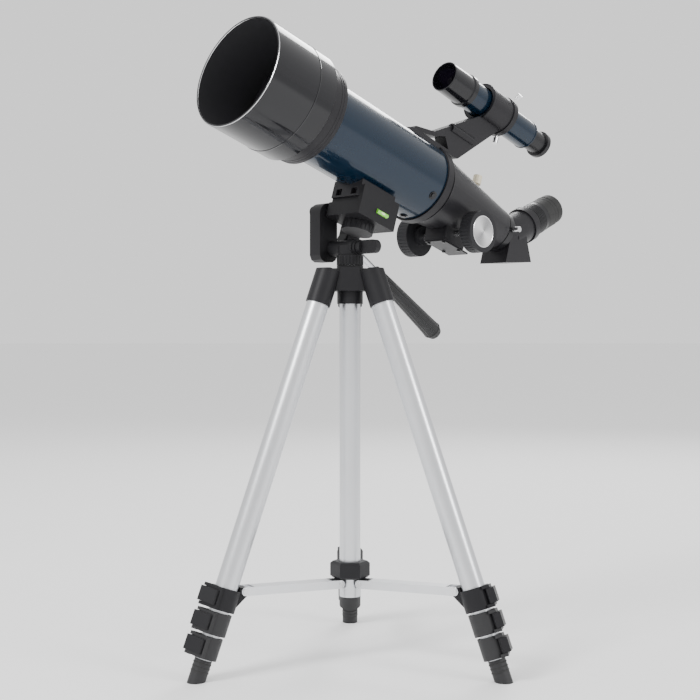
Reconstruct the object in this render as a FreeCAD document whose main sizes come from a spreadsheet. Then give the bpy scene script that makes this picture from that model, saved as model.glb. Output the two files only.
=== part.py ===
"""Short-tube refractor with finder and diagonal on a four-section aluminium tripod.

Millimetres, +Z up. The origin is on the floor, in the middle of the footprint's box. +Y points
away from the side that the owner sees first, and the tripod's rear leg stands towards +Y.
"""
import FreeCAD, Part
import math
import os
import re
import Sketcher
from FreeCAD import Placement, Rotation, Vector

doc = FreeCAD.newDocument("travel_telescope")
sheet = doc.addObject("Spreadsheet::Sheet", "Sizes")

SIZES = {
    # where the tripod's axis stands from the origin
    "axis_x": -43.5, "axis_y": -49.6,
    # legs
    "leg_length": 365.5, "leg_lean": 20, "foot_circle": 150, "leg_tube": 10, "tube_wall": 0.8,
    "slide_gap": 0.3, "clamp_length": 19, "clamp_pitch": 21, "clamp_wall": 3, "clamp_grip": 4.5,
    "foot_length": 19.5, "foot_wall": 0.9, "nest_top": 320, "nest_step": 10,
    "knuckle_wall": 1.2, "knuckle_length": 24, "knuckle_top": 9,
    "ear_width": 16, "ear_proud": 1.5, "lever_thick": 2.8, "lever_length": 15, "lever_pin": 1.1,
    "lever_gap": 0.3, "lever_turn": 20, "pin_fit": 0.08,
    # shoulder, centre column and brace
    "column_tube": 9.4, "column_wall": 1.0, "column_foot": 57.5, "column_start": 120,
    "sleeve_wall": 2.3, "sleeve_drop": 22, "slab_width": 47, "slab_height": 21, "slab_thick": 5,
    "slab_out": 16.5, "hub_reach": 13, "hub_level": 70, "hub_body": 16.5, "hub_height": 15,
    "brace_width": 14, "brace_wall": 1, "brace_half": 3.7, "lug_gap": 0.3, "rivet": 1.5,
    "brace_inset": 15.5, "brace_up": 83.3,
    # pan head
    "collar_level": 13, "collar_height": 9, "collar_out": 12.1, "collar_ribs": 24,
    "spigot": 5, "head_gap": 0.3, "barrel": 7.2, "barrel_reach": 12, "barrel_level": 28.7,
    "arm_in": 22.6, "arm_out": 36, "arm_half": 11, "tilt_rise": 35, "tilt_ahead": 5,
    "arm_low": 12, "knob_r": 5.5, "knob_long": 6, "stud": 3,
    "wing_reach": 36, "wing_height": 12, "wing_thick": 6,
    # platform, measured from the barrel's axis in the tube's tilt
    "elevation": 17.7, "aim": 45.3, "deck_low": 25, "deck_high": 38, "deck_half": 22,
    "deck_back": -28, "deck_front": 20, "cheek": 5, "cheek_top": 52, "plate_thick": 4.6,
    "plate_gap": 0.3, "wheel_r": 14.5, "wheel_low": 16.5, "wheel_high": 24.7, "screw": 3.1,
    "handle_side": -27, "handle_droop": 16.3, "handle_rod": 3.5, "handle_start": 14,
    "handle_length": 172, "grip_start": 86, "grip_thin": 5.6, "grip_fat": 9.0, "socket_r": 5.6,
    # optical tube, along the aim from the barrel's axis, and its height above it
    "axis_height": 92.5, "tube_r": 37.8, "skin": 1.2, "tube_front": 92, "tube_rear": -68,
    "cell_rear": 81.5, "cell_front": 100, "cell_r": 46, "shade_r": 50.4, "shade_front": 169.7,
    "shade_wall": 1.8, "lens_r": 35, "lens_thick": 8,
    "flange_r": 39.5, "flange_front": -66, "flange_rear": -74, "body_front_r": 36,
    "body_rear_r": 22, "body_rear": -190, "draw_r": 18.4, "draw_bore": 15.95, "draw_in": -92,
    "draw_rear": -199, "draw_collar": 21, "draw_lip": 8, "draw_gap": 0.3, "rack_depth": 6,
    "rack_width": 7, "pinion_r": 8, "shaft_r": 3, "knob_at": -121, "focus_knob": 20,
    "focus_knob_in": 34, "focus_knob_out": 47, "knob_disc": 14.5, "disc_thick": 1,
    "chin_front": -106, "chin_rear": -136, "chin_half": 13, "chin_low": 49,
    # diagonal and eyepiece
    "bend": 41, "bend_at": -210, "nose_r": 15.875, "nose_front": -160, "holder_r": 17.5,
    "holder_end": 30, "prism_long": 23, "prism_wide": 16.6, "ring_r": 19, "ring_end": 38, "ocular_r": 16.5, "ocular_end": 60,
    "cup_end": 88, "cup_r": 16, "ocular_bore": 11,
    # finder
    "finder_height": 207, "finder_r": 15, "finder_wall": 1.2, "finder_front": -72,
    "finder_step": -104, "finder_rear": -210, "finder_shade": 15.6, "hood_wall": 1.4,
    "bracket_front": -130, "bracket_rear": -168, "bracket_r": 19.5, "bracket_wall": 3.3,
    "bracket_lip": 1.2, "eye_r": 11.5, "eye_end": -232, "eye_flange": 14, "eye_rear": -238,
    "saddle_front": -32, "saddle_rear": -65, "saddle_thick": 4, "saddle_half": 21,
    "stalk_half": 7, "peg_r": 4.8,
}

for row, (alias, number) in enumerate(SIZES.items(), start=1):
    sheet.set(f"A{row}", alias)
    sheet.set(f"B{row}", str(number))
    sheet.setAlias(f"B{row}", alias)
doc.recompute()

WORD = re.compile(r"[a-z_]+[a-z0-9_]*")
ALONG_X = Rotation(Vector(0, 1, 0), 90)
ALONG_Y = Rotation(Vector(1, 0, 0), -90)
UPRIGHT = Rotation()
made = []


def bound(text):
    """An expression on the sheet's cells, from one that names only their aliases."""
    return WORD.sub(lambda m: "Sizes." + m.group(0) if m.group(0) in SIZES else m.group(0), str(text))


def value(text):
    """What such an expression comes to, as a plain number."""
    result = sheet.evalExpression(bound(text))
    return float(getattr(result, "Value", result))


def place(item, x, y, z, turn=UPRIGHT):
    """Turns an item and binds its place to the sheet."""
    item.Placement = Placement(Vector(), turn)
    for axis, text in (("x", x), ("y", y), ("z", z)):
        item.setExpression(f"Placement.Base.{axis}", bound(text))
    return item


def rod(radius, length, x=0, y=0, z=0, turn=UPRIGHT):
    """A cylinder from x, y, z along its turned Z."""
    item = doc.addObject("Part::Cylinder", "rod")
    item.setExpression("Radius", bound(radius))
    item.setExpression("Height", bound(length))
    return place(item, x, y, z, turn)


def block(x, y, z, length, width, height, turn=UPRIGHT):
    """A box from its lowest corner."""
    item = doc.addObject("Part::Box", "block")
    item.setExpression("Length", bound(length))
    item.setExpression("Width", bound(width))
    item.setExpression("Height", bound(height))
    return place(item, x, y, z, turn)


def slab(x, y_half, z, length, height):
    """A box centred across Y."""
    return block(x, f"-({y_half})", z, length, f"2*({y_half})", height)


def joined(*items):
    item = doc.addObject("Part::MultiFuse", "joined")
    item.Shapes = list(items)
    item.Refine = True
    return item


def cut(base, *tools):
    item = doc.addObject("Part::Cut", "cut")
    item.Base = base
    item.Tool = tools[0] if len(tools) == 1 else joined(*tools)
    item.Refine = True
    return item


def common(base, tool):
    item = doc.addObject("Part::Common", "common")
    item.Base = base
    item.Tool = tool
    return item


def ring(outer, inner, length, x=0, y=0, z=0, turn=UPRIGHT):
    return cut(rod(outer, length, x, y, z, turn), rod(inner, length, x, y, z, turn))


def outline(body, role, points):
    """A closed sketch on one of the body's own planes, each corner bound to the sheet."""
    sketch = body.newObject("Sketcher::SketchObject", "outline")
    plane = [f for f in body.Origin.OriginFeatures if f.Role == role][0]
    sketch.AttachmentSupport = [(plane, "")]
    sketch.MapMode = "FlatFace"
    corners = [Vector(value(x), value(y), 0) for x, y in points]
    count = len(corners)
    for i in range(count):
        sketch.addGeometry(Part.LineSegment(corners[i], corners[(i + 1) % count]), False)
    for i in range(count):
        sketch.addConstraint(Sketcher.Constraint("Coincident", i, 2, (i + 1) % count, 1))
    for i, (x, y) in enumerate(points):
        for kind, text, number, axis in (("DistanceX", x, corners[i].x, -2), ("DistanceY", y, corners[i].y, -1)):
            if str(text) == "0":
                sketch.addConstraint(Sketcher.Constraint("PointOnObject", i, 1, axis))
            else:
                index = sketch.addConstraint(Sketcher.Constraint(kind, -1, 1, i, 1, number))
                sketch.setExpression(f"Constraints[{index}]", bound(text))
    return sketch


def turned(points, start="0", turn=UPRIGHT, base=("0", "0")):
    """A turned piece: (along, radius) points spun about its own X, which then starts at start."""
    body = doc.addObject("PartDesign::Body", "turned")
    spin = body.newObject("PartDesign::Revolution", "spin")
    spin.Profile = outline(body, "XY_Plane", points)
    spin.ReferenceAxis = (spin.Profile[0], ["H_Axis"])
    spin.Angle = 360
    return place(body, start, base[0], base[1], turn)


def padded(points, half, y="0", turn=UPRIGHT):
    """A plate: (x, z) points on the body's XZ plane, padded to both sides of y."""
    body = doc.addObject("PartDesign::Body", "plate")
    pad = body.newObject("PartDesign::Pad", "pad")
    pad.Profile = outline(body, "XZ_Plane", points)
    pad.setExpression("Length", bound(f"2*({half})"))
    pad.Midplane = True
    return place(body, "0", y, "0", turn)


def together(*items):
    """Separate solids that share a node."""
    item = doc.addObject("Part::Compound", "group")
    item.Links = list(items)
    return item


def moved(item, frame):
    """A piece carried to a frame, keeping the place that the sheet gives it inside that frame."""
    carrier = together(item)
    carrier.Placement = frame
    return carrier


def spun(item, angle):
    return moved(item, Placement(Vector(), Rotation(Vector(0, 0, 1), angle)))


def node(item, label, frame):
    """Names a finished piece and sets it in the part's frame."""
    carrier = moved(item, frame)
    carrier.Label = label
    made.append(carrier)


# ---------------------------------------------------------------- frames
SHOULDER = value("leg_length*cos(leg_lean)")
HINGE_OUT = value("foot_circle-leg_length*sin(leg_lean)")
CENTRE = Vector(value("axis_x"), value("axis_y"), 0)
TRIPOD = Placement(CENTRE, UPRIGHT)
HEAD = Placement(CENTRE + Vector(0, 0, SHOULDER), UPRIGHT)
AIM = Rotation(Vector(0, 0, 1), 180 + value("aim"))
PAN = Placement(CENTRE + Vector(0, 0, SHOULDER + value("barrel_level")), AIM)
TUBE = Placement(PAN.Base, AIM * Rotation(Vector(0, 1, 0), -value("elevation")))
LEGS = {1: 90, 2: 210, 3: 330}


def leg_frame(azimuth):
    """On the floor under a leg, Z up the leg and X outwards."""
    spin = Rotation(Vector(0, 0, 1), azimuth)
    out = spin.multVec(Vector(value("foot_circle"), 0, 0))
    return Placement(CENTRE + out, spin * Rotation(Vector(0, 1, 0), -value("leg_lean")))


def side_frame(azimuth):
    return Placement(CENTRE, Rotation(Vector(0, 0, 1), azimuth))


# ---------------------------------------------------------------- legs
SECTION = ["leg_tube"]
for _ in range(3):
    SECTION.append(f"({SECTION[-1]}-tube_wall-slide_gap)")
CLAMP_LOW = [f"(foot_length+1+{2 - k}*clamp_pitch)" for k in range(3)]


def clamp(k):
    """Collar on the lower end of section k, with the ear and the lugs of its flip lever."""
    low = CLAMP_LOW[k]
    outer = f"({SECTION[k]}+clamp_wall)"
    shell = joined(
        rod(outer, "clamp_length", z=low),
        slab("0", "ear_width/2", f"{low}+0.6", f"{outer}+ear_proud", "clamp_length-1.2"),
        block(f"{outer}-5", "-ear_width/2-4.6", low, "6.5", "6", "2.7"),
        block(f"{outer}-5", "-ear_width/2-4.6", f"{low}+clamp_length-2.7", "6.5", "6", "2.7"),
    )
    return cut(
        shell,
        rod(SECTION[k], "clamp_length", z=f"{low}+clamp_grip"),
        rod(f"{SECTION[k + 1]}+slide_gap", "clamp_length", z=f"{low}-1"),
        rod("lever_pin+pin_fit", "clamp_length+2", f"{outer}-0.6", "-ear_width/2-2.4", f"{low}-1"),
    )


def lever(k):
    """Flip lever: a plate with a pinned barrel along the ear's edge."""
    low = CLAMP_LOW[k]
    outer = f"({SECTION[k]}+clamp_wall)"
    return joined(
        block(f"{outer}+ear_proud+lever_gap", "-ear_width/2-2.4", f"{low}+3.2", "lever_thick",
              "lever_length+2.4", "clamp_length-6.4"),
        rod("2", "clamp_length-6.4", f"{outer}-0.6", "-ear_width/2-2.4", f"{low}+3.2"),
        block(f"{outer}-0.6", "-ear_width/2-4.4", f"{low}+3.2", "ear_proud+lever_gap+lever_thick+0.6", "2.1",
              "clamp_length-6.4"),
        rod("lever_pin", "clamp_length-1", f"{outer}-0.6", "-ear_width/2-2.4", f"{low}+0.5"),
    )


lever_spin = Placement(Vector(), Rotation(Vector(0, 0, 1), value("lever_turn")))
tubes, knuckles, clamps = [], [], []
for number, azimuth in LEGS.items():
    frame = leg_frame(azimuth)
    tube = ring("leg_tube", "leg_tube-tube_wall", f"leg_length-8-{CLAMP_LOW[0]}-clamp_grip",
                z=f"{CLAMP_LOW[0]}+clamp_grip")
    tubes.append(moved(tube, frame))
    for k, name in ((1, "second"), (2, "third"), (3, "lowest")):
        inner = f"{SECTION[k]}-tube_wall"
        top = f"nest_top-{k - 1}*nest_step"
        if k < 3:
            start = f"({CLAMP_LOW[k]}+clamp_grip)"
            tip = moved(clamp(k), lever_spin)
        else:
            start = "3"
            below = block("-30", "-30", "-40", "60", "60", "40")
            sole = moved(below, Placement(Vector(), Rotation(Vector(0, 1, 0), value("leg_lean"))))
            boot = rod(f"{SECTION[3]}+foot_wall", "foot_length+4", z="-4")
            tip = cut(boot, sole, rod(SECTION[3], "foot_length", z="3"))
        tube = ring(SECTION[k], inner, f"{top}-{start}", z=start)
        node(together(tube, tip), f"leg_{name}_section_{number}", frame)
    for k, name in enumerate(("upper", "middle", "lower")):
        node(lever(k), f"{name}_lever_{number}", frame * lever_spin)
    upper = moved(clamp(0), lever_spin)
    lug = padded([("-leg_tube-0.2", f"{CLAMP_LOW[0]}+3"), ("-brace_inset-brace_half", "brace_up-2"),
                  ("-brace_inset-brace_half", "brace_up+2"), ("-brace_inset-1", "brace_up+brace_half"),
                  ("-leg_tube-0.2", "brace_up+2")], "brace_width/2-brace_wall-lug_gap")
    eye = rod("rivet", "brace_width", "-brace_inset", "-brace_width/2", "brace_up", ALONG_Y)
    holder = cut(joined(upper, lug), eye, rod("leg_tube", "leg_length/2", z=f"{CLAMP_LOW[0]}+clamp_grip"),
                 rod(f"{SECTION[1]}+slide_gap", "clamp_length", z=f"{CLAMP_LOW[0]}-1"))
    clamps.append(moved(holder, frame))
    socket = joined(
        rod("leg_tube+knuckle_wall", "knuckle_length+knuckle_top", z="leg_length-knuckle_length"),
        slab("-leg_tube", "leg_tube/2", "leg_length-6", "leg_tube", "knuckle_top+6"),
    )
    hollow = rod("leg_tube", "knuckle_length-8", z="leg_length-knuckle_length")
    core_room = moved(rod("slab_out+slide_gap", "90", z="-60"), frame.inverse() * HEAD)
    above = block("-60", "-60", "slab_height/2-0.5", "120", "120", "30")
    knuckle = cut(socket, hollow, core_room, moved(above, frame.inverse() * HEAD))
    knuckles.append(moved(knuckle, frame))
node(together(*tubes), "upper_leg_tubes", Placement())
node(together(*knuckles), "leg_knuckles", Placement())
node(together(*clamps), "upper_leg_clamps", Placement())

# ---------------------------------------------------------------- shoulder, column and brace
slabs = []
for azimuth in (270, 30, 150):
    face = joined(
        slab("slab_out-slab_thick", "(slab_width-slab_height)/2", "-slab_height/2", "slab_thick", "slab_height"),
        rod("slab_height/2", "slab_thick", "slab_out-slab_thick", "(slab_width-slab_height)/2", "0", ALONG_X),
        rod("slab_height/2", "slab_thick", "slab_out-slab_thick", "-(slab_width-slab_height)/2", "0", ALONG_X),
    )
    slabs.append(spun(face, azimuth))
knuckle_room = []
for azimuth in LEGS.values():
    room = rod("leg_tube+knuckle_wall+slide_gap", "leg_length+40")
    knuckle_room.append(moved(room, HEAD.inverse() * leg_frame(azimuth)))
spider = cut(joined(rod("slab_out-1", "slab_height", z="-slab_height/2"), *slabs), *knuckle_room)
core = joined(
    spider,
    rod("column_tube+sleeve_wall", "sleeve_drop", z="-sleeve_drop"),
    rod("slab_out-4.5", "slab_height/2+2", z="0"),
)
shoulder = cut(core, rod("column_tube", "sleeve_drop+1", z="-sleeve_drop-4"),
               rod("column_tube-column_wall+0.1", "100", z="-50"))
node(shoulder, "shoulder", HEAD)

node(ring("column_tube", "column_tube-column_wall", f"{SHOULDER}-column_foot-3", z="column_foot"),
     "column_guide_tube", TRIPOD)
node(joined(rod("column_tube-column_wall-slide_gap", f"{SHOULDER}+collar_level-0.3-column_start", z="column_start"),
            rod("spigot", "13", z=f"{SHOULDER}+collar_level-1")), "centre_column", TRIPOD)

lugs, lug_eyes = [], []
for azimuth in LEGS.values():
    lug = joined(slab("column_tube", "brace_width/2-brace_wall-lug_gap", "hub_level-brace_half",
                      "hub_reach-column_tube", "brace_half+6"),
                 rod("brace_half", "brace_width-2*brace_wall-2*lug_gap", "hub_reach",
                     "-(brace_width/2-brace_wall-lug_gap)", "hub_level", ALONG_Y))
    lugs.append(spun(lug, azimuth))
    lug_eyes.append(spun(rod("rivet", "brace_width", "hub_reach", "-brace_width/2", "hub_level", ALONG_Y), azimuth))
hub_body = doc.addObject("Part::Prism", "hub_body")
hub_body.Polygon = 6
hub_body.setExpression("Circumradius", bound("hub_body+1.5"))
hub_body.setExpression("Height", bound("hub_height"))
place(hub_body, "0", "0", "hub_level+brace_half+0.6")
hub_soft = doc.addObject("Part::Chamfer", "hub_soft")
hub_soft.Base = hub_body
doc.recompute()
hub_soft.Edges = [(i, 2.0, 2.0) for i, e in enumerate(hub_body.Shape.Edges, 1)
                  if abs(e.Vertexes[0].Z - e.Vertexes[-1].Z) < 1e-6]
hub = cut(joined(hub_soft, rod("column_tube+2", "4", z="hub_level+brace_half+0.4"), *lugs),
          rod("column_tube", "60", z="hub_level-20"), *lug_eyes)
node(hub, "brace_hub", TRIPOD)

OUTER_X = value("foot_circle-brace_up*sin(leg_lean)-brace_inset*cos(leg_lean)")
OUTER_Z = value("brace_up*cos(leg_lean)-brace_inset*sin(leg_lean)")
SPAN = math.hypot(OUTER_X - value("hub_reach"), OUTER_Z - value("hub_level"))
RISE = math.degrees(math.atan2(OUTER_Z - value("hub_level"), OUTER_X - value("hub_reach")))
braces, rivets = [], []
for azimuth in LEGS.values():
    bar = joined(slab("0", "brace_width/2", "-brace_half", SPAN, "2*brace_half"),
                 rod("brace_half", "brace_width", "0", "-brace_width/2", "0", ALONG_Y),
                 rod("brace_half", "brace_width", SPAN, "-brace_width/2", "0", ALONG_Y))
    bar = cut(bar, slab("-10", "brace_width/2-brace_wall", "-brace_half-1", f"{SPAN}+20", "2*brace_half+1-brace_wall"),
              slab("-10", "brace_width/2-brace_wall", "0", "18.5", "10"),
              slab(f"{SPAN}-8.5", "brace_width/2-brace_wall", "0", "18.5", "10"),
              rod("rivet", "brace_width+2", "0", "-brace_width/2-1", "0", ALONG_Y),
              rod("rivet", "brace_width+2", SPAN, "-brace_width/2-1", "0", ALONG_Y))
    spin = Rotation(Vector(0, 0, 1), azimuth)
    frame = Placement(CENTRE + spin.multVec(Vector(value("hub_reach"), 0, 0)) + Vector(0, 0, value("hub_level")),
                      spin * Rotation(Vector(0, 1, 0), -RISE))
    braces.append(moved(bar, frame))
    for x in ("0", SPAN):
        pin = joined(rod("rivet", "brace_width", x, "-brace_width/2", "0", ALONG_Y),
                     rod("rivet*1.7", "0.9", x, "brace_width/2", "0", ALONG_Y),
                     rod("rivet*1.7", "0.9", x, "-brace_width/2-0.9", "0", ALONG_Y))
        rivets.append(moved(pin, frame))
node(together(*braces), "brace_arms", Placement())
node(together(*rivets), "brace_rivets", Placement())

# ---------------------------------------------------------------- pan head
grooves = []
for i in range(int(value("collar_ribs"))):
    groove = rod("0.7", "collar_height-2", "collar_out+0.2", "0", "collar_level+1")
    grooves.append(spun(groove, i * 360 / value("collar_ribs")))
collar = cut(rod("collar_out", "collar_height", z="collar_level"),
             rod("column_tube-column_wall+0.1", "collar_height+2", z="collar_level-1"), *grooves)
node(collar, "column_lock_collar", HEAD)

FLOOR = "(collar_level+collar_height+head_gap-barrel_level)"
arm = joined(
    padded([("tilt_ahead-arm_half", "tilt_rise-4"), ("tilt_ahead-arm_half", "6-arm_low"),
            ("tilt_ahead-arm_half+2", "2-arm_low"), ("tilt_ahead-arm_half+6", "-arm_low"),
            ("tilt_ahead+arm_half-6", "-arm_low"), ("tilt_ahead+arm_half-2", "2-arm_low"),
            ("tilt_ahead+arm_half", "6-arm_low"), ("tilt_ahead+arm_half", "tilt_rise-4")],
           "(arm_out-arm_in)/2", "-(arm_out+arm_in)/2"),
    rod("arm_half", "arm_out-arm_in", "tilt_ahead", "-arm_out", "tilt_rise-4", ALONG_Y),
)
pan = cut(
    joined(rod("collar_out-1.5", f"2-({FLOOR})", z=FLOOR), arm,
           rod("barrel", "arm_in+barrel_reach+1", "0", "-arm_in-1", "0", ALONG_Y),
           rod("barrel+0.9", "6", "0", "barrel_reach-9", "0", ALONG_Y)),
    rod("spigot+pin_fit", "8", z=f"{FLOOR}-1.5"),
    rod("stud+pin_fit", "arm_out-arm_in+2", "tilt_ahead", "-arm_out-1", "tilt_rise", ALONG_Y),
    rod("stud+pin_fit", "12", "0", "barrel_reach-10", "0", ALONG_Y),
    rod("collar_out+3", "12", z=f"{FLOOR}-12"),
)
node(pan, "pan_head", PAN)

wing = joined(
    rod("stud", "10", "0", "barrel_reach-9", "0", ALONG_Y),
    rod("barrel-1", "5", "0", "barrel_reach+head_gap", "0", ALONG_Y),
    block("-wing_thick/2", "barrel_reach+head_gap+3", "-wing_height/2", "wing_thick",
          "wing_reach-barrel_reach-head_gap-9", "wing_height"),
    rod("wing_height/2", "wing_thick", "-wing_thick/2", "wing_reach-wing_height/2", "0", ALONG_X),
)
node(wing, "pan_lock_wing", PAN)

tilt_knob = joined(
    rod("stud", "arm_out-arm_in+5", "tilt_ahead", "-arm_out-head_gap", "tilt_rise", ALONG_Y),
    rod("knob_r", "knob_long", "tilt_ahead", "-arm_out-head_gap-knob_long", "tilt_rise", ALONG_Y),
)
node(tilt_knob, "tilt_lock_knob", PAN)

# ---------------------------------------------------------------- platform and handle
TILT_X = value("tilt_ahead*cos(elevation)+tilt_rise*sin(elevation)")
TILT_Z = value("tilt_rise*cos(elevation)-tilt_ahead*sin(elevation)")
DROOP = Rotation(Vector(0, 1, 0), -90 - value("handle_droop"))
deck = joined(
    slab("deck_back", "deck_half", "deck_low", "deck_front-deck_back", "deck_high-deck_low"),
    block("deck_back", "deck_half-cheek", "deck_low", "deck_front-deck_back", "cheek", "cheek_top-deck_low"),
)
deck_soft = doc.addObject("Part::Fillet", "deck_soft")
deck_soft.Base = deck
doc.recompute()
deck_soft.Edges = [(i, 4.0, 4.0) for i, e in enumerate(deck.Shape.Edges, 1)
                   if e.BoundBox.ZLength > 5 and e.BoundBox.XLength < 0.1
                   and e.BoundBox.YLength < 0.1 and e.BoundBox.YMin < 0]
ear = block("deck_back", "handle_side-socket_r", "8", "15", "-handle_side+socket_r-deck_half+2", "deck_high-8")
socket = rod("socket_r", "22", f"-handle_start+2", "handle_side", f"{20.5}-(handle_start-2)*tan(handle_droop)", DROOP)
deck = cut(
    joined(deck_soft, ear, socket),
    rod("stud+pin_fit", "8", TILT_X, "-deck_half-1", TILT_Z, ALONG_Y),
    rod("screw+pin_fit", "40", "(deck_back+deck_front)/2", "0", "deck_low-5"),
    rod("handle_rod", "40", "-handle_start-8", "handle_side", f"{20.5}-(handle_start+8)*tan(handle_droop)", DROOP),
    rod("2.2", "15", "-16", "deck_half", "deck_low+10", ALONG_X),
)
node(deck, "tilt_platform", TUBE)
node(rod("2.1", "14", "-15.5", "deck_half", "deck_low+10", ALONG_X), "level_vial", TUBE)
HANDLE = ("handle_side", f"{20.5}-(handle_start+8)*tan(handle_droop)")
node(rod("handle_rod", "grip_start-handle_start", "-handle_start-8", *HANDLE, DROOP), "handle_rod", TUBE)
grip = turned([("grip_start-20", "handle_rod"), ("grip_start-20", "grip_thin"),
               ("handle_length-20", "grip_fat-0.6"), ("handle_length-6", "grip_fat"),
               ("handle_length", "grip_fat-2.2"), ("handle_length+2.4", "0"),
               ("grip_start+2", "0"), ("grip_start+2", "handle_rod")],
              "0", Rotation(Vector(0, 1, 0), 180 - value("handle_droop")), ("handle_side", "20.5"))
node(cut(grip, rod("handle_rod", "grip_start-handle_start", "-handle_start-8", *HANDLE, DROOP)), "handle_grip", TUBE)

MIDDLE = "(deck_back+deck_front)/2"
notches = []
for i in range(20):
    notches.append(spun(rod("0.9", "wheel_high-wheel_low-2", "wheel_r+0.3", "0", "wheel_low+1"), i * 18))
wheel = joined(cut(rod("wheel_r", "wheel_high-wheel_low", z="wheel_low"), *notches),
               rod("screw", "24", z="wheel_high-1"))
node(wheel, "camera_screw", TUBE * Placement(Vector(value(MIDDLE), 0, 0), UPRIGHT))
PLATE = ("deck_back+4", "-deck_half+3", "deck_front-deck_back-7", "2*deck_half-cheek-3-plate_gap")
node(cut(block(PLATE[0], PLATE[1], "deck_high", PLATE[2], PLATE[3], "plate_thick"),
         rod("screw+pin_fit", "40", MIDDLE, "0", "deck_low")), "quick_release_plate", TUBE)
foot_blank = block("deck_back+2", PLATE[1], "deck_high+plate_thick", "deck_front-deck_back-3", PLATE[3], "16")
tube_foot = cut(foot_blank,
                rod("tube_r", "80", "deck_back-10", "0", "axis_height", ALONG_X),
                rod("screw+pin_fit", "40", MIDDLE, "0", "deck_low"),
                block("deck_front-5", "-14", "deck_high+plate_thick+2", "6", "7", "6"),
                block("deck_front-5", "5", "deck_high+plate_thick+2", "6", "7", "6"))
node(tube_foot, "tube_foot", TUBE)

# ---------------------------------------------------------------- optical tube
AXIS = ("0", "axis_height")
node(ring("tube_r", "tube_r-skin", "tube_front-tube_rear", "tube_rear", *AXIS, ALONG_X), "main_tube", TUBE)
cell = turned([("cell_rear", "tube_r"), ("cell_rear", "cell_r-1.5"), ("cell_rear+1.5", "cell_r"),
               ("cell_front", "cell_r"), ("cell_front", "cell_r-2"), ("cell_front+12", "cell_r-2"),
               ("cell_front+12", "lens_r-1.5"), ("cell_front+8.5", "lens_r-1.5"), ("cell_front+8.5", "lens_r"),
               ("tube_front", "lens_r"), ("tube_front", "tube_r")], base=AXIS)
node(cell, "objective_cell", TUBE)
node(turned([("cell_front+8.5-lens_thick", "0"), ("cell_front+8.5-lens_thick", "lens_r-0.05"),
             ("cell_front+7.5", "lens_r-0.05"), ("cell_front+10", "lens_r*0.6"), ("cell_front+11", "0")],
            base=AXIS), "objective_lens", TUBE)
shade = turned([("cell_front", "cell_r-2"), ("cell_front", "shade_r-1.2"), ("cell_front+1.2", "shade_r"),
                ("shade_front-1", "shade_r"), ("shade_front", "shade_r-0.8"),
                ("shade_front", "shade_r-shade_wall"), ("cell_front+4", "shade_r-shade_wall"),
                ("cell_front+4", "cell_r-2")], base=AXIS)
node(shade, "dew_shade", TUBE)

SHAFT_Z = "(axis_height-draw_r-rack_depth-pinion_r-0.1)"
body = joined(
    turned([("flange_rear", "body_front_r-6"), ("flange_rear", "flange_r"), ("flange_front", "flange_r"),
            ("flange_front", "tube_r"), ("flange_rear+2", "tube_r"), ("flange_rear+2", "body_front_r-6")], base=AXIS),
    turned([("body_rear", "draw_r"), ("body_rear", "body_rear_r-1"), ("body_rear+1.5", "body_rear_r"),
            ("body_rear+8", "body_rear_r+0.6"), ("flange_rear-3", "body_front_r"), ("flange_rear", "flange_r-1.5"),
            ("flange_rear+2", "body_front_r-6"), ("flange_rear-8", "body_front_r-6"), ("body_rear+12", "draw_r")],
           base=AXIS),
    slab("chin_rear", "chin_half", "chin_low", "chin_front-chin_rear", "axis_height-chin_low-draw_r-2"),
    slab("chin_rear-9", "chin_half-1", "chin_low-1.5", "chin_front-chin_rear+8", "1.6"),
    rod("6", "axis_height-chin_low-40", "-150", "0", "axis_height+20"),
)
focuser = cut(
    body,
    rod("draw_r+draw_gap", "140", "body_rear-5", *AXIS, ALONG_X),
    rod("pinion_r+0.5", "rack_width+4", "knob_at", "-rack_width/2-2", SHAFT_Z, ALONG_Y),
    slab("body_rear-5", "rack_width/2+0.4", "axis_height-draw_r-rack_depth-0.4", "-body_rear-74", "rack_depth+4"),
    rod("shaft_r+pin_fit", "60", "knob_at", "-30", SHAFT_Z, ALONG_Y),
    rod("1.5+pin_fit", "40", "-150", "0", "axis_height+draw_r-4"),
)
node(focuser, "focuser_body", TUBE)
screws = []
for x in ("chin_rear+2.5", "chin_front-4"):
    for y in ("-chin_half+3.5", "chin_half-3.5"):
        screws.append(rod("1.7", "1.2", x, y, "chin_low-2.7"))
for angle in (-32, 212, 270):
    screw = joined(rod("2.6", "1.6", "-58", "0", "tube_r"), rod("4", "0.5", "-58", "0", "tube_r+0.05"))
    turn = Rotation(Vector(1, 0, 0), angle - 90)
    screws.append(moved(screw, Placement(Vector(0, 0, value("axis_height")), turn)))
node(together(*screws), "focuser_screws", TUBE)

RACK_Z = "(axis_height-draw_r-rack_depth)"
draw = cut(
    joined(turned([("draw_rear", "draw_bore"), ("draw_rear", "draw_collar-1"), ("draw_rear+1", "draw_collar"),
                   ("draw_rear+draw_lip", "draw_collar"), ("draw_rear+draw_lip", "draw_r"),
                   ("draw_in", "draw_r"), ("draw_in", "draw_bore")], base=AXIS),
           slab("body_rear+10", "rack_width/2", RACK_Z, "draw_in-body_rear-14", "rack_depth+1")),
    rod("1.5+pin_fit", "20", "draw_rear+4", "draw_bore-1", "axis_height", ALONG_Y),
)
node(draw, "draw_tube", TUBE)
node(joined(rod("shaft_r", "2*focus_knob_in+12", "knob_at", "-focus_knob_in-6", SHAFT_Z, ALONG_Y),
            rod("pinion_r", "rack_width", "knob_at", "-rack_width/2", SHAFT_Z, ALONG_Y)), "pinion_shaft", TUBE)


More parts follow.
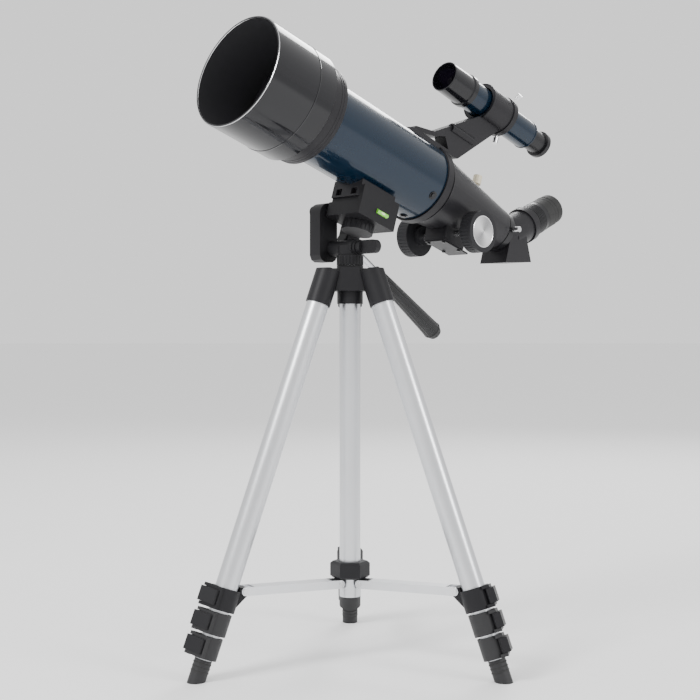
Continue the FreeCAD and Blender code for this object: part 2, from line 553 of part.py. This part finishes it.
def focus_knob(side):
    """Focus knob with a ribbed rim, bored for the shaft and dished for its metal disc."""
    long = "(focus_knob_out-focus_knob_in)"
    ribs = []
    for i in range(36):
        ribs.append(spun(rod("0.8", f"{long}-4", "focus_knob+0.3", "0", "1"), i * 10))
    knob = cut(joined(rod("focus_knob", long), rod("9", "6", z="-6")),
               rod("knob_disc", "3", z=f"{long}-disc_thick"), rod("shaft_r", "14", z="-7"), *ribs)
    turn = ALONG_Y if side > 0 else Rotation(Vector(1, 0, 0), 90)
    return moved(knob, Placement(Vector(value("knob_at"), side * value("focus_knob_in"), value(SHAFT_Z)), turn))


node(together(focus_knob(1), focus_knob(-1)), "focus_knobs", TUBE)
discs = [rod("knob_disc", "disc_thick", "knob_at", "focus_knob_out-disc_thick", SHAFT_Z, ALONG_Y),
         rod("knob_disc", "disc_thick", "knob_at", "-focus_knob_out", SHAFT_Z, ALONG_Y)]
node(together(*discs), "focus_knob_discs", TUBE)
node(joined(rod("1.5", "15", "-150", "0", "axis_height+draw_r+0.5"), rod("4.5", "9", "-150", "0", "axis_height+33")),
     "focus_lock_screw", TUBE)
node(joined(rod("1.5", "12", "draw_rear+4", "draw_bore+0.1", "axis_height", ALONG_Y),
            rod("3", "7", "draw_rear+4", "draw_collar+1.5", "axis_height", ALONG_Y)), "draw_tube_screw", TUBE)

# ---------------------------------------------------------------- diagonal and eyepiece
half_turn = value("bend") / 2
base_tilt = Rotation(Vector(0, 1, 0), half_turn)
prism = padded([("-prism_long", "0"), ("prism_long", "0"), ("prism_long-8", "32"), ("8-prism_long", "32")],
               "prism_wide")
prism_placed = moved(prism, Placement(Vector(value("bend_at") - 8, 0, 66), base_tilt))
nose = rod("nose_r", "nose_front-bend_at", "bend_at", *AXIS, ALONG_X)
nose_collar = rod("holder_r", "bend_at+14-draw_rear-0.4+(draw_rear-bend_at-14)+10", "bend_at", *AXIS, ALONG_X)
OUTGOING = Placement(Vector(value("bend_at"), 0, value("axis_height")),
                     Rotation(Vector(0, 1, 0), value("bend") - 90))
holder = moved(joined(rod("holder_r", "holder_end"), rod("ring_r", "ring_end-holder_end", z="holder_end")), OUTGOING)
bore_out = moved(rod("nose_r-1.2", "60", z="12"), OUTGOING)
front_trim = block("draw_rear-0.4", "-40", "0", "60", "80", "200")
bore_in = rod("nose_r-2", "60", "bend_at+12", *AXIS, ALONG_X)
housing = cut(joined(prism_placed, nose_collar, holder), front_trim)
diagonal = cut(joined(housing, rod("nose_r", "nose_front-draw_rear+3", "draw_rear-3", *AXIS, ALONG_X)),
               bore_out, bore_in)
node(diagonal, "diagonal_housing", TUBE)
EYE = TUBE * OUTGOING
node(turned([("ring_end-25", "ocular_bore"), ("ring_end-25", "nose_r-1.28"), ("ring_end+0.3", "nose_r-1.28"),
             ("ring_end+0.3", "ocular_r"), ("ocular_end", "ocular_r"), ("ocular_end", "ocular_bore")],
            turn=Rotation(Vector(0, 1, 0), -90)), "eyepiece_barrel", EYE)
node(turned([("ring_end+2", "0"), ("ring_end+2", "ocular_bore-0.05"), ("ocular_end-4", "ocular_bore-0.05"),
             ("ocular_end-5", "0")], turn=Rotation(Vector(0, 1, 0), -90)), "eyepiece_lens", EYE)
node(turned([("ocular_end", "ocular_bore"), ("ocular_end", "cup_r+0.6"), ("cup_end-2", "cup_r"),
             ("cup_end", "cup_r-1.6"), ("cup_end", "cup_r-3.4"), ("ocular_end+8", "ocular_bore")],
            turn=Rotation(Vector(0, 1, 0), -90)), "eyecup", EYE)

# ---------------------------------------------------------------- finder
FINDER = ("0", "finder_height")
saddle = common(ring("tube_r+saddle_thick", "tube_r+0.05", "saddle_front-saddle_rear", "saddle_rear", *AXIS, ALONG_X),
                slab("saddle_rear", "saddle_half", "axis_height+10", "saddle_front-saddle_rear", "60"))
SADDLE_TOP = "(axis_height+tube_r+saddle_thick-1)"
stalk = padded([("saddle_front-6", SADDLE_TOP), ("saddle_front-10", f"{SADDLE_TOP}+6"),
                ("saddle_front-36", f"{SADDLE_TOP}+12"), ("bracket_front-1", "finder_height-15"),
                ("bracket_rear+5", "finder_height-15"), ("-108", f"{SADDLE_TOP}+1"), ("-104", SADDLE_TOP)],
               "stalk_half")
window = padded([("saddle_front-20", f"{SADDLE_TOP}+3.5"), ("saddle_front-38", f"{SADDLE_TOP}+8"),
                 ("saddle_front-52", f"{SADDLE_TOP}+14"), ("-92", f"{SADDLE_TOP}+3.5")], "stalk_half+1")
finder_screws, screw_holes = [], []
for angle in (135, 45, 270):
    turn = Placement(Vector(0, 0, value("finder_height")), Rotation(Vector(1, 0, 0), angle - 90))
    screw = joined(rod("1.4", "14", "bracket_rear+3", "0", "finder_r+0.3"),
                   rod("2.9", "6", "bracket_rear+3", "0", "finder_r+9"))
    finder_screws.append(moved(screw, turn))
    screw_holes.append(moved(rod("1.4", "12", "bracket_rear+3", "0", "finder_r-1"), turn))
bracket = cut(
    joined(saddle, cut(stalk, window),
           rod("bracket_r", "bracket_front-bracket_rear", "bracket_rear", *FINDER, ALONG_X),
           rod("bracket_r+bracket_lip", "6", "bracket_rear", *FINDER, ALONG_X),
           rod("peg_r", "33", "-124", "5", "160", ALONG_X)),
    rod("bracket_r-bracket_wall", "80", "bracket_rear-20", *FINDER, ALONG_X),
    rod("peg_r-1.3", "10", "-101", "5", "160", ALONG_X),
    *screw_holes,
)
node(bracket, "finder_bracket", TUBE)
node(turned([("finder_rear", "finder_r-finder_wall"), ("finder_rear", "finder_r-0.8"), ("finder_rear+1", "finder_r"),
             ("finder_step", "finder_r"), ("finder_step", "finder_r-finder_wall")], base=FINDER), "finder_tube", TUBE)
node(turned([("finder_step-3", "finder_r+0.05"), ("finder_step-3", "finder_shade+1.2"),
             ("finder_step+2", "finder_shade+1.2"), ("finder_step+3", "finder_shade"),
             ("finder_front", "finder_shade-0.4"), ("finder_front", "finder_shade-hood_wall"),
             ("finder_step", "finder_shade-hood_wall"), ("finder_step", "finder_r+0.05")], base=FINDER),
     "finder_hood", TUBE)
node(turned([("finder_step+0.5", "0"), ("finder_step+0.5", "finder_shade-hood_wall-0.05"),
             ("finder_step+4", "finder_shade-hood_wall-0.05"), ("finder_step+6", "0")], base=FINDER),
     "finder_lens", TUBE)
node(turned([("eye_rear", "6"), ("eye_rear", "eye_flange-0.6"), ("eye_rear+0.8", "eye_flange"),
             ("eye_end-0.5", "eye_flange"), ("eye_end", "eye_r"), ("finder_rear-0.6", "eye_r"),
             ("finder_rear", "finder_r-1.2"), ("finder_rear", "finder_r-finder_wall-0.05"),
             ("finder_rear+10", "finder_r-finder_wall-0.05"), ("finder_rear+10", "6")], base=FINDER),
     "finder_eyepiece", TUBE)
node(together(*finder_screws), "finder_screws", TUBE)

# ---------------------------------------------------------------- checks and files
doc.recompute()
for item in doc.Objects:
    if "Invalid" in item.State or "Error" in item.State:
        raise RuntimeError(f"{item.Label} is {item.State}")
labels = [item.Label for item in made]
if len(set(labels)) != len(labels):
    raise RuntimeError("two pieces share a label")
for item in made:
    if item.Shape.isNull() or not item.Shape.isValid() or item.Shape.Volume < 1:
        raise RuntimeError(f"{item.Label} has no valid shape")
os.makedirs("parts", exist_ok=True)
for item in made:
    item.Shape.exportStep(f"parts/{item.Label}.step")
print(len(made), "pieces")
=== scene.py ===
import math

import bmesh
import bpy
from mathutils import Matrix, Vector


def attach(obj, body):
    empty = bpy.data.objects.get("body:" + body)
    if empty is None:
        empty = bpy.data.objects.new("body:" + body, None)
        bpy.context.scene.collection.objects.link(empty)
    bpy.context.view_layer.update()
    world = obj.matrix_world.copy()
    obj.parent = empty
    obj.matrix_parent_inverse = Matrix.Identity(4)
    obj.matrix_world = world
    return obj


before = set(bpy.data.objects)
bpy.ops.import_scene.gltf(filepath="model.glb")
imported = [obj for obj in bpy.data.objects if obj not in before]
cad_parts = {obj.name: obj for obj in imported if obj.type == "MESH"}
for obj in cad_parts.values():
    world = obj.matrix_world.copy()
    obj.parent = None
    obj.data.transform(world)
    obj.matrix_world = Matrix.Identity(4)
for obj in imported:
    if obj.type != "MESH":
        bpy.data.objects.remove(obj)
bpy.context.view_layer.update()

# ---------------------------------------------------------------- main tube
# The main tube is rolled aluminium, sprayed deep blue and lacquered. It is the first piece, so the
# frame that the whole optical tube is built in stands here, with the way that a finish is mixed.
TRIPOD_AXIS = Vector((-0.0435, -0.0496, 0))
LEAN = math.radians(20)
LEG_SLANT = 0.3655
HEAD_RISE = 0.0287
AIM_TURN = math.radians(180 + 45.3)
TUBE_TILT = math.radians(-17.7)
OPTICS_RISE = 0.0925
SHOULDER_LEVEL = LEG_SLANT * math.cos(LEAN)
HEAD_LEVEL = SHOULDER_LEVEL + HEAD_RISE
AIM = Matrix.Rotation(AIM_TURN, 4, "Z")
PAN = Matrix.Translation(TRIPOD_AXIS + Vector((0, 0, HEAD_LEVEL))) @ AIM
TUBE = PAN @ Matrix.Rotation(TUBE_TILT, 4, "Y")
OPTICS = TUBE @ Matrix.Translation((0, 0, OPTICS_RISE))

# The sockets of a colour Mix node go by number, because several share one name.
MIX_FACTOR, MIX_FIRST, MIX_SECOND, MIX_RESULT = 0, 6, 7, 2
WEAR_SPREAD = 0.12
WEAR_GAIN = 1.35
WEAR_LIFT = 0.004
DIM_SHINE = 0.15


class Wire:
    """A shader socket that can stand in a sum."""

    def __init__(self, finish, socket):
        self.finish = finish
        self.socket = socket

    def maths(self, operation, first, second=None):
        values = [first] if second is None else [first, second]
        return self.finish.node("ShaderNodeMath", {"operation": operation}, values)

    def __add__(self, other):
        return self.maths("ADD", self, other)

    def __rsub__(self, other):
        return self.maths("SUBTRACT", other, self)

    def __mul__(self, other):
        return self.maths("MULTIPLY", self, other)

    def __gt__(self, other):
        return self.maths("GREATER_THAN", self, other)

    def sine(self):
        return self.maths("SINE", self)


class Finish:
    """A finish on one material, read in object coordinates."""

    def __init__(self, name, colour, roughness, metallic=0.0, coat=0.0, coat_roughness=0.05,
                 ior=1.5, specular=0.5):
        self.material = bpy.data.materials.new(name)
        self.material.use_nodes = True
        self.tree = self.material.node_tree
        self.shader = self.tree.nodes["Principled BSDF"]
        plain = {"Base Color": (*colour, 1), "Roughness": roughness, "Metallic": metallic,
                 "Coat Weight": coat, "Coat Roughness": coat_roughness, "IOR": ior,
                 "Specular IOR Level": specular}
        for socket, number in plain.items():
            self.shader.inputs[socket].default_value = number
        self.place = self.node("ShaderNodeTexCoord", {}, {}, "Object")

    def node(self, kind, settings, values, output=0):
        """One shader node: its settings first, then the values or wires of its sockets."""
        made = self.tree.nodes.new(kind)
        for setting, choice in settings.items():
            setattr(made, setting, choice)
        pairs = values.items() if isinstance(values, dict) else enumerate(values)
        for socket, given in pairs:
            if isinstance(given, Wire):
                self.tree.links.new(given.socket, made.inputs[socket])
            else:
                made.inputs[socket].default_value = given
        return Wire(self, made.outputs[output])

    def feed(self, socket, wire):
        self.tree.links.new(wire.socket, self.shader.inputs[socket])

    def noise(self, scale, detail=3.0, where=None):
        sockets = {"Vector": where or self.place, "Scale": scale, "Detail": detail}
        return self.node("ShaderNodeTexNoise", {}, sockets)

    def mottle(self, scale, spread, least, detail=3.0):
        """A faint cloud in the roughness."""
        self.feed("Roughness", self.noise(scale, detail) * spread + least)

    def local(self, matrix):
        """Object coordinates read in a piece's own frame."""
        back = matrix.inverted()
        sockets = {"Vector": self.place, "Location": back.to_translation(),
                   "Rotation": back.to_euler()}
        return self.node("ShaderNodeMapping", {"vector_type": "POINT"}, sockets)

    def parts(self, where):
        """The three coordinates of a place, each on its own wire."""
        split = self.node("ShaderNodeSeparateXYZ", {}, [where])
        return [Wire(self, output) for output in split.socket.node.outputs]

    def blend(self, factor, first, second):
        """One colour laid over another."""
        sockets = {MIX_FACTOR: factor, MIX_FIRST: (*first, 1), MIX_SECOND: (*second, 1)}
        return self.node("ShaderNodeMix", {"data_type": "RGBA"}, sockets, MIX_RESULT)

    def bump(self, height, strength, distance):
        sockets = {"Height": height, "Strength": strength, "Distance": distance}
        self.feed("Normal", self.node("ShaderNodeBump", {}, sockets))


def wear(finish, colour, roughness):
    """Handling marks: a little cloud in the colour and in the gloss."""
    cloud = finish.noise(18.0, 4.0)
    dull = tuple(min(1.0, c * WEAR_GAIN + WEAR_LIFT) for c in colour)
    finish.feed("Base Color", finish.blend(cloud, colour, dull))
    finish.feed("Roughness", cloud * WEAR_SPREAD + (roughness - WEAR_SPREAD / 2))


def dress(finish, *names):
    """The CAD pieces that wear a finish."""
    for name in names:
        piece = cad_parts[name]
        piece.data.materials.clear()
        piece.data.materials.append(finish.material)


BLUE = (0.0022, 0.011, 0.026)
BLUE_FLECK = (0.0045, 0.021, 0.042)
paint = Finish("blue_lacquer", BLUE, 0.3, metallic=0.25, coat=0.55, coat_roughness=0.05,
               specular=DIM_SHINE)
fleck = paint.noise(900.0, 1.0)
paint.feed("Base Color", paint.blend(fleck * 0.5, BLUE, BLUE_FLECK))
paint.mottle(30.0, spread=0.12, least=0.22)
dress(paint, "main_tube", "finder_tube")

# ---------------------------------------------------------------- dew shade
# The dew shade is a gloss black moulding that pushes over the cell. Its mouth is trimmed with a
# thin bright bead, and its inside is flat black against stray light.
GLOSS_BLACK = (0.006, 0.006, 0.008)
BORE_BLACK = (0.03, 0.03, 0.032)
BORE_RADIUS = 0.0492
SHADE_COAT = 0.6
shade_gloss = Finish("gloss_black", GLOSS_BLACK, 0.16, coat=SHADE_COAT, coat_roughness=0.04,
                     specular=DIM_SHINE)
_, across, up = shade_gloss.parts(shade_gloss.local(OPTICS))
inside = 1 - ((across * across + up * up) > BORE_RADIUS ** 2)
haze = shade_gloss.noise(25.0)
shade_gloss.feed("Base Color", shade_gloss.blend(inside, GLOSS_BLACK, BORE_BLACK))
shade_gloss.feed("Roughness", inside * 0.4 + haze * 0.1 + 0.1)
shade_gloss.feed("Coat Weight", (1 - inside) * SHADE_COAT)
dress(shade_gloss, "dew_shade")

WELD = 1e-6
TRIM_CREASE = math.radians(35)


def turned(name, profile, place, body, finish, steps=128):
    """A ring turned about its own X from a closed (along, radius) profile."""
    mesh = bmesh.new()
    corners = [mesh.verts.new((x, r, 0)) for x, r in profile]
    section = mesh.faces.new(corners)
    outline = [section, *section.edges, *section.verts]
    bmesh.ops.spin(mesh, geom=outline, cent=(0, 0, 0), axis=(1, 0, 0), angle=math.tau,
                   steps=steps, use_merge=True)
    finished(name, mesh, place, body, finish)


def finished(name, mesh, place, body, finish):
    """Closes a mesh, sets its place into it, and rides it on a body."""
    bmesh.ops.remove_doubles(mesh, verts=mesh.verts, dist=WELD)
    inner = [f for f in mesh.faces if all(len(e.link_faces) > 2 for e in f.edges)]
    bmesh.ops.delete(mesh, geom=inner, context="FACES")
    bmesh.ops.recalc_face_normals(mesh, faces=mesh.faces)
    mesh.transform(place)
    data = bpy.data.meshes.new(name)
    mesh.to_mesh(data)
    mesh.free()
    data.shade_smooth()
    data.set_sharp_from_angle(angle=TRIM_CREASE)
    data.materials.append(finish.material)
    piece = bpy.data.objects.new(name, data)
    bpy.context.scene.collection.objects.link(piece)
    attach(piece, body)


def raised(start, width, inner, outer, slope):
    """The profile of a raised ring with sloped sides."""
    return [(start, inner), (start + slope, outer),
            (start + width - slope, outer), (start + width, inner)]


BRIGHT = (0.72, 0.72, 0.73)
bright = Finish("bright_trim", BRIGHT, 0.2, metallic=1.0)
bright.mottle(120.0, spread=0.12, least=0.16)
BEAD = [(0.1689, 0.0484), (0.1689, 0.0502), (0.16935, 0.0500), (0.1696, 0.0494),
        (0.1694, 0.0486)]
turned("dew_shade_bead", BEAD, OPTICS, "tube", bright)
SEAM = [(0.1205, 0.0502), (0.1205, 0.05062), (0.1209, 0.05078), (0.1213, 0.05062),
        (0.1213, 0.0502)]
turned("dew_shade_band", SEAM, OPTICS, "tube", shade_gloss)

# ---------------------------------------------------------------- objective
# The cell is a satin black casting that screws to the tube. It holds a coated lens, kept in by a
# threaded ring with a stepped bore.
CHARCOAL = (0.01, 0.0095, 0.0115)


def grained(name, colour, roughness, **coating):
    """Moulded plastic: a fine leather grain and a faint cloud of handling."""
    finish = Finish(name, colour, roughness, specular=0.2, **coating)
    wear(finish, colour, roughness)
    finish.bump(finish.noise(1400.0, 2.0), strength=0.12, distance=0.0004)
    return finish


casting = grained("satin_casting", CHARCOAL, 0.42, coat=0.12, coat_roughness=0.25)
dress(casting, "objective_cell", "focuser_body", "finder_bracket", "diagonal_housing",
      "tube_foot")
GLASS = (0.03, 0.09, 0.12)
GLASS_TEAL = (0.02, 0.08, 0.12)
GLASS_VIOLET = (0.16, 0.06, 0.2)
coated = Finish("coated_glass", GLASS, 0.03, coat=1.0, coat_roughness=0.02, ior=1.6)
coated.feed("Base Color", coated.blend(coated.noise(14.0, 1.0), GLASS_TEAL, GLASS_VIOLET))
dress(coated, "objective_lens", "finder_lens", "eyepiece_lens")
FLAT_BLACK = (0.008, 0.008, 0.009)
flat_black = Finish("flat_black", FLAT_BLACK, 0.7)
flat_black.mottle(200.0, spread=0.2, least=0.6)
RETAINER = [(0.1088, 0.0322), (0.1088, 0.0334), (0.1112, 0.0334), (0.1112, 0.0330),
            (0.1102, 0.0322)]
turned("lens_retainer", RETAINER, OPTICS, "tube", flat_black)
for count, station in enumerate((0.0855, 0.0885)):
    rib = raised(station, width=0.0015, inner=0.0459, outer=0.04625, slope=0.0003)
    turned(f"cell_rib_{count + 1}", rib, OPTICS, "tube", casting)

# ---------------------------------------------------------------- focuser
# The focuser is a tapered casting with a chin for the pinion. A black draw tube slides in it, and
# ribbed knobs with spun metal discs turn the pinion. A pale knob on top locks the draw tube.
SATIN_BLACK = (0.012, 0.012, 0.014)
satin_black = Finish("satin_black", SATIN_BLACK, 0.3, metallic=0.3)
satin_black.mottle(60.0, spread=0.15, least=0.24)
dress(satin_black, "draw_tube", "eyepiece_barrel", "finder_eyepiece", "focuser_screws")
KNOB_BLACK = (0.014, 0.014, 0.016)
knob_plastic = grained("knob_plastic", KNOB_BLACK, 0.45)
dress(knob_plastic, "focus_knobs")
dress(bright, "pinion_shaft", "draw_tube_screw", "finder_screws", "brace_rivets")

PINION = TUBE @ Matrix.Translation((-0.121, 0, 0.06))
# The disc's colour swings between a painted shade and a painted gleam twice round its centre: a
# painted sheen standing in for the light on the spun metal.
DISC = (0.6, 0.6, 0.61)
DISC_PAINTED_SHADE = (0.42, 0.42, 0.43)
DISC_PAINTED_GLEAM = (0.86, 0.86, 0.87)
LATHE_PITCH = 9000
spun = Finish("spun_disc", DISC, 0.28, metallic=1.0)
x, _, z = spun.parts(spun.local(PINION))
turn = spun.node("ShaderNodeMath", {"operation": "ARCTAN2"}, [z, x])
painted_sheen = (turn * 2 + 0.9).sine() * 0.5 + 0.5
radius = spun.node("ShaderNodeMath", {"operation": "SQRT"}, [x * x + z * z])
lathe = (radius * LATHE_PITCH).sine()
# Painted sheen: the colour follows the angle round the pinion, not the lamps. The same pattern
# also varies the roughness.
spun.feed("Base Color", spun.blend(painted_sheen, DISC_PAINTED_SHADE, DISC_PAINTED_GLEAM))
spun.feed("Roughness", painted_sheen * 0.16 + 0.2)
spun.bump(lathe, strength=0.15, distance=0.0001)
dress(spun, "focus_knob_discs")
KNOB_RIM = [(0.0466, 0.0144), (0.0466, 0.0152), (0.0471, 0.0152), (0.0473, 0.0148),
            (0.0471, 0.0144)]
KNOB_PIP = [(0.0468, 0.0), (0.0468, 0.0022), (0.0474, 0.0016), (0.0475, 0.0)]
for side, label in ((1, "near"), (-1, "far")):
    face = PINION @ Matrix.Rotation(math.radians(90 * side), 4, "Z")
    turned(f"knob_rim_{label}", KNOB_RIM, face, "focus_shaft", bright, 96)
    turned(f"knob_pip_{label}", KNOB_PIP, face, "focus_shaft", spun, 48)

CREAM = (0.62, 0.56, 0.42)
cream = Finish("cream_plastic", CREAM, 0.35)
wear(cream, CREAM, 0.38)
dress(cream, "focus_lock_screw")
BAND = [(-0.0785, 0.0347), (-0.0785, 0.0365), (-0.0801, 0.0362), (-0.0801, 0.0345)]
turned("focuser_band", BAND, OPTICS, "tube", casting)

# ---------------------------------------------------------------- eyepiece
# The eyepiece drops into the diagonal's collar. Its barrel is black with turned grip lines, and a
# soft rubber cup stands round its lens.
BEND_STATION = -0.21
BEND_TURN = math.radians(180 + 41)
BEND = OPTICS @ Matrix.Translation((BEND_STATION, 0, 0)) @ Matrix.Rotation(BEND_TURN, 4, "Y")
RUBBER = (0.012, 0.012, 0.012)
rubber = Finish("soft_rubber", RUBBER, 0.65)
rubber.mottle(80.0, spread=0.2, least=0.55)
rubber.bump(rubber.noise(1600.0, 1.0), strength=0.1, distance=0.0003)
dress(rubber, "eyecup")
for count in range(6):
    line = raised(0.0425 + count * 0.0022, width=0.0013, inner=0.0164, outer=0.01685,
                  slope=0.0002)
    turned(f"eyepiece_grip_{count + 1}", line, BEND, "eyepiece", satin_black, 96)
for count in range(3):
    fold = raised(0.067 + count * 0.005, width=0.0013, inner=0.0160, outer=0.01645,
                  slope=0.0003)
    turned(f"eyecup_fold_{count + 1}", fold, BEND, "eyepiece", rubber, 96)

# ---------------------------------------------------------------- finder
# The finder is a small straight telescope held in its ring by three thumbscrews. Its hood is the
# same gloss black as the dew shade.
FINDER = TUBE @ Matrix.Translation((0, 0, 0.207))
hood_black = Finish("hood_black", GLOSS_BLACK, 0.2, coat=0.5, coat_roughness=0.06,
                    specular=DIM_SHINE)
hood_black.mottle(40.0, spread=0.12, least=0.16)
dress(hood_black, "finder_hood")
FINDER_RINGS = ((-0.0727, 0.0149, hood_black, "shade_gloss"),
                (-0.2085, 0.015, paint, "blue_paint"),
                (-0.1295, 0.0195, casting, "tube_plastic"))
for count, (station, reach, wears, slot) in enumerate(FINDER_RINGS):
    ring = [(station, reach - 0.0004), (station + 0.0002, reach + 0.0004),
            (station - 0.0010, reach + 0.0004), (station - 0.0012, reach - 0.0004)]
    turned(f"finder_ring_{count + 1}", ring, FINDER, "tube", wears, 96)

# ---------------------------------------------------------------- legs
# The legs are nested aluminium tubes, satin anodised, with the drawing marks running up them. Each
# section's lower end is a moulded black collar, and the lowest has a rubber foot.
FOOT_CIRCLE = 0.15
SATIN = (0.68, 0.69, 0.71)
MOULDED = (0.009, 0.0088, 0.0102)
LEGS = {1: 90, 2: 210, 3: 330}
SECTIONS = (("second", 0.0089), ("third", 0.0078), ("lowest", 0.0067))
COLLAR_MARGIN = 0.0002
GRAIN_STRETCH = 0.03


def leg_place(azimuth):
    """A leg's own frame, with Z up the lean of the leg from its foot."""
    spin = Matrix.Rotation(math.radians(azimuth), 4, "Z")
    foot = Matrix.Translation((FOOT_CIRCLE, 0, 0))
    return Matrix.Translation(TRIPOD_AXIS) @ spin @ foot @ Matrix.Rotation(-LEAN, 4, "Y")


def drawn(finish, where):
    """A roughness with drawing marks along Z."""
    sockets = {"Vector": where, "Scale": (1, 1, GRAIN_STRETCH)}
    marks = finish.noise(900.0, 2.0, finish.node("ShaderNodeMapping", {}, sockets))
    return marks * 0.14 + 0.27


def anodised(name, place):
    """Satin metal, with its drawing marks along a frame's Z."""
    finish = Finish(name, SATIN, 0.32, metallic=1.0)
    finish.feed("Roughness", drawn(finish, finish.local(place)))
    return finish


upright = anodised("anodised_upright", Matrix.Translation(TRIPOD_AXIS))
dress(upright, "column_guide_tube", "centre_column", "upper_leg_tubes")
for number, azimuth in LEGS.items():
    place = leg_place(azimuth)
    for section, tube_radius in SECTIONS:
        leg = Finish(f"{section}_section_{number}", SATIN, 0.32, metallic=1.0)
        where = leg.local(place)
        x, y, _ = leg.parts(where)
        collar = (x * x + y * y) > (tube_radius + COLLAR_MARGIN) ** 2
        leg.feed("Base Color", leg.blend(collar, SATIN, MOULDED))
        leg.feed("Metallic", 1 - collar)
        leg.feed("Roughness", drawn(leg, where) + collar * 0.16)
        dress(leg, f"leg_{section}_section_{number}")
    stand = place @ Matrix.Rotation(math.radians(-90), 4, "Y")
    for count in range(3):
        rib = raised(0.0085 + count * 0.0035, width=0.0015, inner=0.0074, outer=0.00795,
                     slope=0.0003)
        turned(f"foot_rib_{number}_{count + 1}", rib, stand, f"leg_{number}_lowest", rubber,
               64)

# ---------------------------------------------------------------- brace
# The brace arms are folded aluminium channels, riveted to a black hub on the column tube. The
# black mouldings of the tripod and the head share the hub's finish, so all are dressed here.
CHANNEL = (0.78, 0.79, 0.81)
channel = Finish("channel_aluminium", CHANNEL, 0.35, metallic=1.0)
channel.mottle(70.0, spread=0.2, least=0.28, detail=4.0)
dress(channel, "brace_arms")
moulded = grained("moulded_black", MOULDED, 0.45)
dress(moulded, "brace_hub", "upper_leg_clamps", "leg_knuckles", "shoulder",
      "column_lock_collar", "pan_head", "pan_lock_wing", "tilt_lock_knob", "tilt_platform",
      "camera_screw", "quick_release_plate")
for number in LEGS:
    for level in ("upper", "middle", "lower"):
        dress(moulded, f"{level}_lever_{number}")

# ---------------------------------------------------------------- head
# The pan head is a black moulding. Its plate carries a green level vial with a bubble, and the
# handle is a plain rod with a ribbed rubber grip.
VIAL = TUBE @ Matrix.Translation((-0.0085, 0.022, 0.035))
VIAL_PLAIN = (0.22, 0.7, 0.06)
VIAL_GREEN = (0.2, 0.66, 0.05)
VIAL_BUBBLE = (0.75, 0.95, 0.5)
BUBBLE_LENGTH = 0.0026
vial = Finish("level_vial", VIAL_PLAIN, 0.05, coat=1.0, coat_roughness=0.02)
x, _, z = vial.parts(vial.local(VIAL))
bubble = 1 - ((x * x + z * z * 6) > BUBBLE_LENGTH ** 2)
vial.feed("Base Color", vial.blend(bubble, VIAL_GREEN, VIAL_BUBBLE))
dress(vial, "level_vial")

HANDLE_DROP = 16.3
GRIP_RIBS = 16
rod_place = TUBE @ Matrix.Rotation(math.radians(90 - HANDLE_DROP), 4, "Y")
rod = anodised("handle_steel", rod_place)
dress(rod, "handle_rod")
handle_turn = Matrix.Rotation(math.radians(180 - HANDLE_DROP), 4, "Y")
HANDLE = TUBE @ Matrix.Translation((0, -0.027, 0.0205)) @ handle_turn
GRIP = (0.013, 0.013, 0.014)
grip = Finish("ribbed_grip", GRIP, 0.5)
_, y, z = grip.parts(grip.local(HANDLE))
round_grip = grip.node("ShaderNodeMath", {"operation": "ARCTAN2"}, [z, y])
grip.mottle(60.0, spread=0.2, least=0.42)
grip.bump((round_grip * GRIP_RIBS).sine(), strength=0.8, distance=0.0008)
dress(grip, "handle_grip")
for count, (station, reach) in enumerate(((0.0875, 0.0060), (0.0905, 0.0061), (0.165, 0.0089))):
    ring = raised(station, width=0.0016, inner=reach - 0.0006, outer=reach + 0.0003,
                  slope=0.0003)
    turned(f"grip_ring_{count + 1}", ring, HANDLE, "tube", rubber, 64)

# ---------------------------------------------------------------- edges
# The CAD pieces shade smooth over their curves, with a crease wherever two faces meet at more
# than 30 degrees. Their shapes aren't touched.
CAD_CREASE = math.radians(30)
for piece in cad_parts.values():
    piece.data.shade_smooth()
    piece.data.set_sharp_from_angle(angle=CAD_CREASE)

# ---------------------------------------------------------------- studio
# A plain pale floor under three soft boxes, in an even white room. The camera looks level, from
# the front of the tripod.
FLOOR_REACH = 150
floor_mesh = bmesh.new()
bmesh.ops.create_circle(floor_mesh, cap_ends=True, segments=96, radius=FLOOR_REACH)
floor_data = bpy.data.meshes.new("floor")
floor_mesh.to_mesh(floor_data)
floor_mesh.free()
floor = bpy.data.objects.new("floor", floor_data)
bpy.context.scene.collection.objects.link(floor)
PAPER = (0.93, 0.93, 0.93)
paper = Finish("pale_paper", PAPER, 0.8)
paper.mottle(3.0, spread=0.1, least=0.75)
floor_data.materials.append(paper.material)

world = bpy.data.worlds.new("studio")
world.use_nodes = True
background = world.node_tree.nodes["Background"]
background.inputs["Color"].default_value = (1.0, 1.0, 1.0, 1)
background.inputs["Strength"].default_value = 1.15
bpy.context.scene.world = world

AIMED_AT = Vector((0.0, 0.0, 0.38))
SOFT_BOXES = {"key": ((-1.4, -1.3, 1.8), 0.7, 46), "fill": ((1.9, -1.2, 1.2), 0.6, 18),
              "rear": ((0.6, 1.9, 1.7), 0.9, 26)}
for name, (at, size, power) in SOFT_BOXES.items():
    lamp = bpy.data.lights.new(name, "AREA")
    lamp.size = size
    lamp.energy = power
    box = bpy.data.objects.new(name, lamp)
    box.location = at
    box.rotation_euler = (AIMED_AT - Vector(at)).to_track_quat("-Z", "Y").to_euler()
    bpy.context.scene.collection.objects.link(box)

CAMERA_FROM_AXIS = Vector((0, -1.124, 0.288))
camera_data = bpy.data.cameras.new("camera")
camera_data.sensor_width = 36
camera_data.lens = 63.87
camera_data.shift_y = -0.0129
camera_data.clip_end = 400
camera = bpy.data.objects.new("camera", camera_data)
camera.location = TRIPOD_AXIS + CAMERA_FROM_AXIS
camera.rotation_euler = (math.radians(90), 0, 0)
bpy.context.scene.collection.objects.link(camera)
bpy.context.scene.camera = camera
